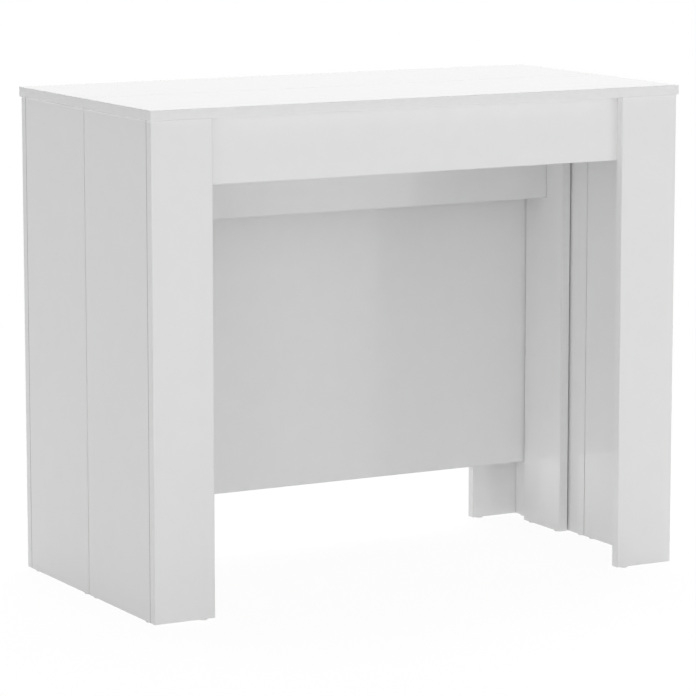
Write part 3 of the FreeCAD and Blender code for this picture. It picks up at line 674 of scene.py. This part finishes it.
def cam_places(locks, bolts):
    """The slotted face's middle of each cam, which way the drum goes in, and its joint."""
    bolt_middles = [sum(extent(part), Vector()) / 2 for part in loose_parts(bolts)]
    places = []
    for part in loose_parts(locks):
        low, high = extent(part)
        middle = (low + high) / 2
        axis = min(range(3), key=lambda each: (high - low)[each])
        bolt_middle = min(bolt_middles, key=lambda each: (each - middle).length)
        towards_joint = bolt_middle - middle
        face = -1 if towards_joint[axis] > 0 else 1
        start = middle.copy()
        start[axis] = high[axis] if face > 0 else low[axis]
        aim = Vector([0, 0, 0])
        aim[axis] = -face
        towards_joint[axis] = 0
        places.append((start, aim, towards_joint.normalized()))
    return places


cam_tree, cam = new_tree("cam_locks", {
    "Radius": 7.5 * MM, "Depth": 12.5 * MM, "Edge": 0.4 * MM, "Dish radius": 6.3 * MM,
    "Dish depth": 0.5 * MM, "Slot length": 9 * MM, "Slot width": 1.6 * MM,
    "Slot depth": 2.6 * MM, "Bolt height": 7.5 * MM, "Neck width": 4.2 * MM,
    "Head radius": 3.4 * MM, "Arrow reach": 5.6 * MM, "Arrow size": 1.1 * MM})
cam_edge = cam["Radius"] - cam["Edge"]
drum = turned(cam_tree, ((0, cam["Dish depth"]), (cam["Dish radius"], cam["Dish depth"]),
                         (cam["Dish radius"], 0), (cam_edge, 0), (cam["Radius"], cam["Edge"]),
                         (cam["Radius"], cam["Depth"] - cam["Edge"]), (cam_edge, cam["Depth"]),
                         (0, cam["Depth"])), CAM_SIDES)
neck_way = moved(cam_tree, block(cam_tree, cam["Radius"], cam["Neck width"], cam["Neck width"]),
                 x=cam["Radius"] * NECK_WAY_MIDDLE_SHARE, z=cam["Bolt height"])
head_room = add(cam_tree, "GeometryNodeMeshUVSphere", {},
                {"Segments": SCREW_SIDES, "Rings": SCREW_SIDES // 2,
                 "Radius": cam["Head radius"]})
slot_room = cam["Slot depth"] * 2
drum = cut(cam_tree, drum,
           block(cam_tree, cam["Slot length"], cam["Slot width"], slot_room),
           block(cam_tree, cam["Slot width"], cam["Slot length"], slot_room), neck_way,
           moved(cam_tree, head_room.outputs["Mesh"], z=cam["Bolt height"]))
arrow = add(cam_tree, "GeometryNodeMeshCylinder", {},
            {"Vertices": 3, "Radius": cam["Arrow size"], "Depth": cam["Dish depth"]})
arrow = moved(cam_tree, arrow.outputs["Mesh"], x=cam["Arrow reach"],
              z=cam["Dish depth"] * ARROW_HEIGHT_SHARE, turn=(0, 0, radians(-90)))
set_in_places(cam_tree, cam, joined(cam_tree, drum, arrow), make_die_cast_zinc())
for frame_name in LEG_FRAMES:
    node = frame_name + "_cam_locks"
    fastened(node, cam_places(node, frame_name + "_cam_bolts"), cam_tree, {})

# Dowels
# Turned beech pegs with fluted sides and chamfered ends, glued into one board and pushed into
# the other.
GRAIN_STRETCH = 0.15
FLECK_WIDTH = 0.35 * MM
FLECK_STARTS, FLECK_FULL = 0.62, 0.7
FLUTES = 16
SIDES_TO_A_FLUTE = 4


def fluted(tree, shape, flutes, depth):
    """A turned shape with shallow grooves along its side."""
    position = add(tree, "GeometryNodeInputPosition").outputs["Position"]
    parts = add(tree, "ShaderNodeSeparateXYZ", {}, {"Vector": position})
    angle = add(tree, "ShaderNodeMath", {"operation": "ARCTAN2"},
                {0: parts.outputs["Y"], 1: parts.outputs["X"]})
    wave = add(tree, "ShaderNodeMath", {"operation": "COSINE"},
               {0: Measure(tree, angle.outputs["Value"]) * flutes})
    fall = (Measure(tree, wave.outputs["Value"]) - 1) / 2
    flat = add(tree, "ShaderNodeVectorMath", {"operation": "MULTIPLY"},
               {0: position, 1: (1, 1, 0)})
    outward = add(tree, "ShaderNodeVectorMath", {"operation": "NORMALIZE"},
                  {0: flat.outputs["Vector"]})
    offset = add(tree, "ShaderNodeVectorMath", {"operation": "SCALE"},
                 {0: outward.outputs["Vector"], "Scale": fall * depth})
    return add(tree, "GeometryNodeSetPosition", {},
               {"Geometry": shape, "Offset": offset.outputs["Vector"]}).outputs["Geometry"]


def make_beech():
    """Plain beech, unfinished: pinkish tan, with short dark flecks along the grain."""
    material, tree = new_material("plain_beech")
    place = add(tree, "ShaderNodeAttribute", {"attribute_name": "own_place"})
    along = add(tree, "ShaderNodeMapping", {}, {"Vector": place.outputs["Vector"],
                                                "Scale": (1, 1, GRAIN_STRETCH)})
    tone, _ = mottle(tree, dark="C49A6C", light="DBB98C", size=0.8 * MM,
                     vector=along.outputs["Vector"])
    flecks = add(tree, "ShaderNodeTexNoise", {}, {"Vector": along.outputs["Vector"],
                                                  "Scale": 1 / FLECK_WIDTH, "Detail": 1})
    fleck = add(tree, "ShaderNodeMapRange", {}, {"Value": flecks.outputs["Fac"],
                                                 "From Min": FLECK_STARTS,
                                                 "From Max": FLECK_FULL})
    colour = add(tree, "ShaderNodeMix", {"data_type": "RGBA"},
                 {"Factor": fleck.outputs["Result"], 6: tone, 7: linear("9A6C43")})
    relief = add(tree, "ShaderNodeBump", {}, {"Height": flecks.outputs["Fac"],
                                              "Distance": 0.08 * MM})
    shader = add(tree, "ShaderNodeBsdfPrincipled", {},
                 {"Base Color": colour.outputs[2], "Roughness": 0.65,
                  "Normal": relief.outputs["Normal"]})
    return surfaced(material, shader.outputs["BSDF"])


dowel_tree, dowel = new_tree("dowels", {"Radius": 4 * MM, "Length": 30 * MM, "Point": 1 * MM,
                                        "Flute depth": 0.25 * MM})
dowel_tip = dowel["Radius"] - dowel["Point"]
pin = turned(dowel_tree, ((0, 0), (dowel_tip, 0), (dowel["Radius"], dowel["Point"]),
                          (dowel["Radius"], dowel["Length"] - dowel["Point"]),
                          (dowel_tip, dowel["Length"]), (0, dowel["Length"])),
             FLUTES * SIDES_TO_A_FLUTE)
set_in_places(dowel_tree, dowel, fluted(dowel_tree, pin, FLUTES, dowel["Flute depth"]),
              make_beech())
for frame_name in LEG_FRAMES:
    node = frame_name + "_dowels"
    fastened(node, wide_end_places(node), dowel_tree, {})

# Locating pegs
# Moulded plastic pegs, pressed into the split edge of the front top: their rounded noses enter
# bores in the rear top and bring the two flush.
def make_polyethylene():
    """White polyethylene, moulded: waxy, a little warmer and duller than the boards."""
    material, tree = new_material("moulded_white_polyethylene")
    tone, lumps = mottle(tree, dark="E3E3DF", light="E9E9E6", size=3 * MM)
    relief = add(tree, "ShaderNodeBump", {}, {"Height": lumps, "Distance": 0.02 * MM})
    shader = add(tree, "ShaderNodeBsdfPrincipled", {},
                 {"Base Color": tone, "Roughness": 0.5, "IOR": 1.51,
                  "Normal": relief.outputs["Normal"]})
    return surfaced(material, shader.outputs["BSDF"])


polyethylene = make_polyethylene()
peg_tree, peg = new_tree("locating_pegs", {
    "Radius": 4 * MM, "Root edge": 0.5 * MM, "Nose start": 20.5 * MM, "Nose middle": 23 * MM,
    "Nose radius": 3.2 * MM, "Length": 24 * MM, "Tip radius": 2 * MM, "Flute depth": 0.3 * MM})
peg_body = turned(peg_tree, ((0, 0), (peg["Radius"] - peg["Root edge"], 0),
                             (peg["Radius"], peg["Root edge"]),
                             (peg["Radius"], peg["Nose start"]),
                             (peg["Nose radius"], peg["Nose middle"]),
                             (peg["Tip radius"], peg["Length"]), (0, peg["Length"])),
                  FLUTES * SIDES_TO_A_FLUTE)
set_in_places(peg_tree, peg, fluted(peg_tree, peg_body, FLUTES, peg["Flute depth"]),
              polyethylene)
fastened("front_locating_pegs", wide_end_places("front_locating_pegs"),
         peg_tree, {})

# Floor glides
# White plastic discs moulded round a steel nail, knocked into the foot of every upright.
GLIDE_SIDES = 48
NAIL_SIDES = 12
glide_tree, glide = new_tree("floor_glides", {
    "Radius": 6.5 * MM, "Rim": 0.6 * MM, "Height": 2 * MM, "Dish radius": 2.5 * MM,
    "Dish depth": 0.5 * MM, "Nail radius": 0.9 * MM, "Length": 14 * MM, "Point": 1.8 * MM})
disc = turned(glide_tree, ((0, glide["Dish depth"]), (glide["Dish radius"], glide["Dish depth"]),
                           (glide["Dish radius"] + glide["Rim"], 0),
                           (glide["Radius"] - glide["Rim"], 0), (glide["Radius"], glide["Rim"]),
                           (glide["Radius"], glide["Height"]), (0, glide["Height"])), GLIDE_SIDES)
nail = turned(glide_tree, ((0, glide["Dish depth"]), (glide["Nail radius"], glide["Dish depth"]),
                           (glide["Nail radius"], glide["Length"] - glide["Point"]),
                           (0, glide["Length"])), NAIL_SIDES)
nail = add(glide_tree, "GeometryNodeSetMaterial", {},
           {"Geometry": nail, "Material": zinc_plating}).outputs["Geometry"]
disc = add(glide_tree, "GeometryNodeSetMaterial", {},
           {"Geometry": disc, "Material": polyethylene}).outputs["Geometry"]
set_in_places(glide_tree, glide, joined(glide_tree, disc, nail))
for frame_name in LEG_FRAMES:
    node = frame_name + "_floor_glides"
    fastened(node, wide_end_places(node), glide_tree, {})

# Angle brackets
# Strips of 2 mm steel, punched and bent square, then zinc plated. They hang the first and the
# last member of each runner under the two tops.
CORNER_STEPS = 6
HOLE_SIDES = 24
BEND_STEPS = 8


def rounded_sheet(tree, width, height, corner, holes):
    """A flat sheet on the XY plane with rounded corners and round holes."""
    outline = add(tree, "GeometryNodeCurvePrimitiveQuadrilateral", {},
                  {"Width": width, "Height": height})
    rounded = add(tree, "GeometryNodeFilletCurve", {"mode": "POLY"},
                  {"Curve": outline.outputs["Curve"], "Radius": corner, "Count": CORNER_STEPS})
    rims = [rounded.outputs["Curve"]]
    for x, y, radius in holes:
        rim = add(tree, "GeometryNodeCurvePrimitiveCircle", {}, {"Resolution": HOLE_SIDES,
                                                                 "Radius": radius})
        rims.append(moved(tree, rim.outputs["Curve"], x=x, y=y))
    return add(tree, "GeometryNodeFillCurve", {"mode": "NGONS"},
               {"Curve": joined(tree, *rims)}).outputs["Mesh"]


def plate(tree, width, height, corner, holes, thickness):
    """A sheet made solid upwards; its corners on the +X side alone are rounded."""
    # The second sheet is rounded all round and reaches past the first on the -X side
    sheets = [rounded_sheet(tree, width, height, 0, holes),
              moved(tree, rounded_sheet(tree, width + corner * 2, height, corner, ()),
                    x=-corner)]
    solids = []
    for sheet in sheets:
        raised = add(tree, "GeometryNodeExtrudeMesh", {"mode": "FACES"},
                     {"Mesh": sheet, "Offset Scale": thickness, "Individual": False})
        under = add(tree, "GeometryNodeFlipFaces", {}, {"Mesh": sheet})
        both = joined(tree, raised.outputs["Mesh"], under.outputs["Mesh"])
        solids.append(add(tree, "GeometryNodeMergeByDistance", {},
                          {"Geometry": both, "Distance": SAME_POINT}).outputs["Geometry"])
    rounded = add(tree, "GeometryNodeMeshBoolean",
                  {"operation": "INTERSECT", "solver": "EXACT"})
    for solid in solids:
        tree.links.new(solid, rounded.inputs["Mesh 2"])
    return rounded.outputs["Mesh"]


def bend(tree, radius, thickness, width):
    """A quarter bend from the flange, at the top, to the leg, with its corner at the origin."""
    arc = add(tree, "GeometryNodeCurveArc", {"mode": "RADIUS"},
              {"Resolution": BEND_STEPS, "Radius": radius - thickness / 2,
               "Start Angle": radians(90), "Sweep Angle": radians(90)})
    section = add(tree, "GeometryNodeCurvePrimitiveQuadrilateral", {},
                  {"Width": thickness, "Height": width})
    swept = add(tree, "GeometryNodeCurveToMesh", {},
                {"Curve": arc.outputs["Curve"], "Profile Curve": section.outputs["Curve"],
                 "Fill Caps": True})
    return moved(tree, swept.outputs["Mesh"], x=radius, z=-radius, turn=(radians(90), 0, 0))


bracket_tree, bracket = new_tree("angle_brackets", {
    "Thickness": 2 * MM, "Length": 40 * MM, "Flange": 20 * MM, "Drop": 25 * MM,
    "Bend radius": 3 * MM, "Corner": 2 * MM, "Hole radius": 1.85 * MM, "Hole spread": 10 * MM,
    "Flange hole": 11 * MM, "Leg hole": 8.05 * MM})
bracket_parts = [bend(bracket_tree, bracket["Bend radius"], bracket["Thickness"],
                      bracket["Length"])]
for reach, hole in (("Flange", "Flange hole"), ("Drop", "Leg hole")):
    middle = (bracket[reach] + bracket["Bend radius"]) / 2
    across = bracket[hole] - middle
    holes = [(across, aside, bracket["Hole radius"])
             for aside in (bracket["Hole spread"], -bracket["Hole spread"])]
    flat = plate(bracket_tree, bracket[reach] - bracket["Bend radius"], bracket["Length"],
                 bracket["Corner"], holes, bracket["Thickness"])
    if reach == "Flange":
        laid = moved(bracket_tree, flat, x=middle, z=-bracket["Thickness"])
    else:
        laid = moved(bracket_tree, flat, z=-middle, turn=(0, radians(90), 0))
    bracket_parts.append(laid)
set_in_places(bracket_tree, bracket, joined(bracket_tree, *bracket_parts), zinc_plating)


def bracket_places(node):
    """Each bracket's outer corner, with its flange's direction as its side."""
    places = []
    for part in loose_parts(node):
        low, high = extent(part)
        feet = [point.x for point in part if point.z < low.z + SLICE]
        leg_is_low = sum(feet) / len(feet) < (low.x + high.x) / 2
        corner = Vector((low.x if leg_is_low else high.x, (low.y + high.y) / 2, high.z))
        places.append((corner, Vector((0, 0, 1)), Vector((1 if leg_is_low else -1, 0, 0))))
    return places


for half in ("front", "rear"):
    node = half + "_runner_brackets"
    fastened(node, bracket_places(node), bracket_tree, {})

# Saddles
# T-shaped blanks of 3 mm steel: the broad plate is screwed to the cross rail and the tongue,
# bent out from it, carries the fourth member of a runner.
saddle_tree, saddle = new_tree("saddles", {
    "Thickness": 3 * MM, "Plate width": 40 * MM, "Plate height": 45 * MM,
    "Tongue width": 9 * MM, "Reach": 40 * MM, "Bend radius": 3.6 * MM, "Corner": 2.5 * MM,
    "Hole radius": 1.85 * MM, "Hole inset": 10 * MM})
tongue_middle = (saddle["Reach"] + saddle["Bend radius"]) / 2
tongue_hole = saddle["Reach"] - saddle["Hole inset"] - tongue_middle
tongue = plate(saddle_tree, saddle["Reach"] - saddle["Bend radius"], saddle["Tongue width"],
               saddle["Corner"], [(tongue_hole, 0, saddle["Hole radius"])], saddle["Thickness"])
plate_middle = (saddle["Plate height"] + saddle["Bend radius"]) / 2
hole_down = saddle["Plate height"] - saddle["Hole inset"] - plate_middle
hole_out = saddle["Plate width"] / 2 - saddle["Hole inset"]
broad = plate(saddle_tree, saddle["Plate height"] - saddle["Bend radius"],
              saddle["Plate width"], saddle["Corner"],
              [(hole_down, aside, saddle["Hole radius"]) for aside in (hole_out, -hole_out)],
              saddle["Thickness"])
saddle_shape = joined(
    saddle_tree,
    bend(saddle_tree, saddle["Bend radius"], saddle["Thickness"], saddle["Tongue width"]),
    moved(saddle_tree, tongue, x=tongue_middle, z=-saddle["Thickness"]),
    moved(saddle_tree, broad, z=-plate_middle, turn=(0, radians(90), 0)))
set_in_places(saddle_tree, saddle, saddle_shape, zinc_plating)
saddle_places = []
for part in loose_parts("middle_saddle_brackets"):
    low, high = extent(part)
    saddle_places.append((Vector(((low.x + high.x) / 2, low.y, high.z)), Vector((0, 0, 1)),
                          Vector((0, 1, 0))))
fastened("middle_saddle_brackets", saddle_places, saddle_tree, {})

# Studio
# A plain pale floor, a white world and large soft lamps, at a level that shows colours about as
# they are written.
FLOOR_SIZE = 60
# Near the table the floor keeps a little of its shadows, and further out it is plain white
SHADOWS_TO = 0.5
PLAIN_WHITE_FROM = 2.6
WHITENESS_AT_THE_TABLE = 0.88
FLOOR_GLOW = 0.35
WORLD_LIGHT = 0.024
floor_mesh = bpy.data.meshes.new("floor")
half_floor = FLOOR_SIZE / 2
floor_mesh.from_pydata([(-half_floor, -half_floor, 0), (half_floor, -half_floor, 0),
                        (half_floor, half_floor, 0), (-half_floor, half_floor, 0)],
                       [], [(0, 1, 2, 3)])
floor = bpy.data.objects.new("floor", floor_mesh)
bpy.context.scene.collection.objects.link(floor)


def straight_ray(tree):
    """1 for what the camera sees, by itself or in a mirror or through glass, and 0 for light."""
    ray = add(tree, "ShaderNodeLightPath").outputs
    straight = ray["Is Camera Ray"]
    for kind in ("Is Glossy Ray", "Is Transmission Ray"):
        straight = add(tree, "ShaderNodeMath", {"operation": "MAXIMUM"},
                       {0: straight, 1: ray[kind]}).outputs["Value"]
    return straight


floor_paint, tree = new_material("pale_floor_paint")
place = add(tree, "ShaderNodeTexCoord").outputs["Object"]
distance = add(tree, "ShaderNodeVectorMath", {"operation": "LENGTH"}, {0: place})
whiteness = add(tree, "ShaderNodeMapRange", {"interpolation_type": "SMOOTHSTEP"},
                {"Value": distance.outputs["Value"], "From Min": SHADOWS_TO,
                 "From Max": PLAIN_WHITE_FROM, "To Min": WHITENESS_AT_THE_TABLE,
                 "To Max": 1.0})
paint = add(tree, "ShaderNodeBsdfDiffuse", {}, {"Color": linear("F7F7F7")})
lit = add(tree, "ShaderNodeEmission", {}, {"Color": linear("FFFFFF"), "Strength": FLOOR_GLOW})
surface = add(tree, "ShaderNodeAddShader", {}, {0: paint.outputs["BSDF"],
                                                1: lit.outputs["Emission"]})
white = add(tree, "ShaderNodeEmission", {}, {"Color": linear("FFFFFF"), "Strength": 1})
mixed = add(tree, "ShaderNodeMixShader", {},
            {0: Measure(tree, straight_ray(tree)) * whiteness.outputs["Result"],
             1: surface.outputs["Shader"], 2: white.outputs["Emission"]})
floor_mesh.materials.append(surfaced(floor_paint, mixed.outputs["Shader"]))

world = bpy.data.worlds.new("white_studio")
bpy.context.scene.world = world
world.use_nodes = True
tree = world.node_tree
tree.nodes.clear()
level = add(tree, "ShaderNodeMapRange", {}, {"Value": straight_ray(tree),
                                             "To Min": WORLD_LIGHT, "To Max": 1.0})
sky = add(tree, "ShaderNodeBackground", {}, {"Color": linear("FFFFFF"),
                                             "Strength": level.outputs["Result"]})
add(tree, "ShaderNodeOutputWorld", {}, {"Surface": sky.outputs["Background"]})


def soft_lamp(name, place, aim, size, power, mirrored=True):
    """A square area lamp at a place, turned to a point, which glossy faces may mirror."""
    lamp = bpy.data.lights.new(name, "AREA")
    lamp.size = size
    lamp.energy = power
    holder = bpy.data.objects.new(name, lamp)
    holder.location = place
    holder.rotation_euler = (Vector(aim) - Vector(place)).to_track_quat("-Z", "Y").to_euler()
    holder.visible_glossy = mirrored
    bpy.context.scene.collection.objects.link(holder)


soft_lamp("overhead_lamp", place=(0, -0.3, 4.5), aim=(0, 0, 0.4), size=4, power=49)
soft_lamp("front_lamp", place=(0.3, -3.2, 3.2), aim=(0, 0, 0.4), size=3.2, power=28)
soft_lamp("front_left_lamp", place=(-8, -6, 3), aim=(0, 0.1, 0.35), size=6, power=88)
# The images of these, on top of the white world's, would bleach level faces
soft_lamp("rear_lamp", place=(2, 4.5, 8), aim=(0, 0, 0.4), size=10, power=606,
          mirrored=False)
soft_lamp("camera_side_fill_lamp", place=(-3.6, -5.6, 1.7), aim=(0, 0.1, 0.4), size=2,
          power=26, mirrored=False)
soft_lamp("front_right_fill_lamp", place=(5, -5, 2), aim=(0, 0.1, 0.4), size=3, power=40,
          mirrored=False)

# Camera
# It stands where the photograph was taken from, found from the table's corners and seams.
CAMERA_PLACE = (-2.6635, -4.8182, 1.2186)
CAMERA_YAW = radians(28.903)
CAMERA_PITCH = radians(9.033)
LENS_MM = 186.2
SENSOR_MM = 36
camera_data = bpy.data.cameras.new("camera")
camera_data.lens = LENS_MM
camera_data.sensor_width = SENSOR_MM
camera = bpy.data.objects.new("camera", camera_data)
camera.location = CAMERA_PLACE
camera.rotation_euler = (radians(90) - CAMERA_PITCH, 0, -CAMERA_YAW)
bpy.context.scene.collection.objects.link(camera)
bpy.context.scene.camera = camera
bpy.context.scene.view_settings.view_transform = "Standard"
